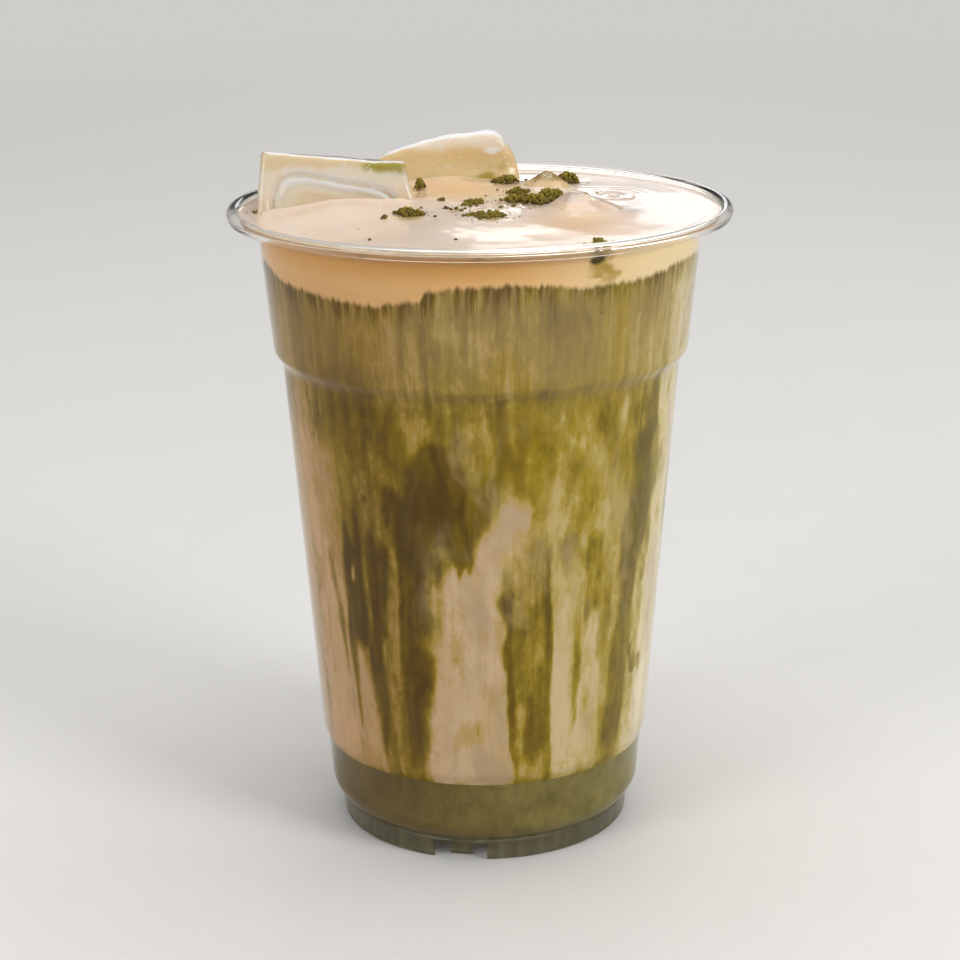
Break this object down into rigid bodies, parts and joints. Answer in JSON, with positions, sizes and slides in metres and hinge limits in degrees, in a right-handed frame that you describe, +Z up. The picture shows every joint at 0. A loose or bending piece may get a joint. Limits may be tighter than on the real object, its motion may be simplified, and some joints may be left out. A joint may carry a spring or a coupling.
{
  "type": "iced matcha latte",
  "caption": "Iced matcha latte in a clear take-away cup: olive base, marbled milk and matcha, and a cream top with ice standing out of it and matcha powder.",
  "frame": {"origin": "centre of the foot, on the surface that the cup stands on", "axes": "+Z up along the cup's axis, -Y towards the side that is usually looked at"},
  "size_m": [0.095, 0.095, 0.1329],
  "materials": {
    "cup_plastic": "clear, glossy",
    "matcha_base": "opaque olive drink",
    "marbled_latte": "milk marbled with matcha",
    "cream": "wet, glossy",
    "ice": "wet, slightly milky",
    "matcha_powder": "dry powder in clumps"
  },
  "bodies": {
    "root": {"cup": "cup_plastic", "base_layer": "matcha_base", "latte": "marbled_latte", "cream": "cream", "ice_left": "ice", "ice_back": "ice", "ice_right": "ice", "ice_centre": "ice"}
  },
  "joints": []
}
